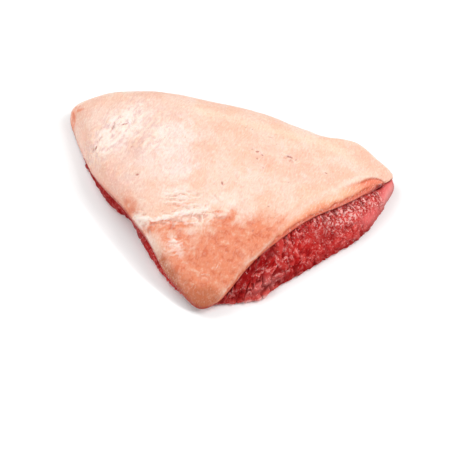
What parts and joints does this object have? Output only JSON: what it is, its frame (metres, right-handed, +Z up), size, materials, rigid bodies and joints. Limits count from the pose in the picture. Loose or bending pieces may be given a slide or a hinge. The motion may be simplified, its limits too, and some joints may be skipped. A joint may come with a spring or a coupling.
{
  "type": "raw picanha",
  "caption": "Raw picanha: a rounded-triangle slab of lean meat under a pale fat cap, with a sloping cut face at the front right and a flat underside that it lies on.",
  "frame": {"origin": "middle of the bounding box's underside, on the surface that the meat lies on", "axes": "+X along the long back edge towards the thin right tip, +Y from the front tip to the back edge, +Z up"},
  "size_m": [0.3233, 0.2292, 0.0486],
  "materials": {
    "fat": "raw fat, pale peach to cream with whitish membrane and salmon patches, softly moist",
    "lean": "raw lean meat, crimson to pink with fine pale flecks, coarse grain, wet sheen"
  },
  "bodies": {
    "root": {"fat_cap": "fat", "lean": "lean"}
  },
  "joints": []
}
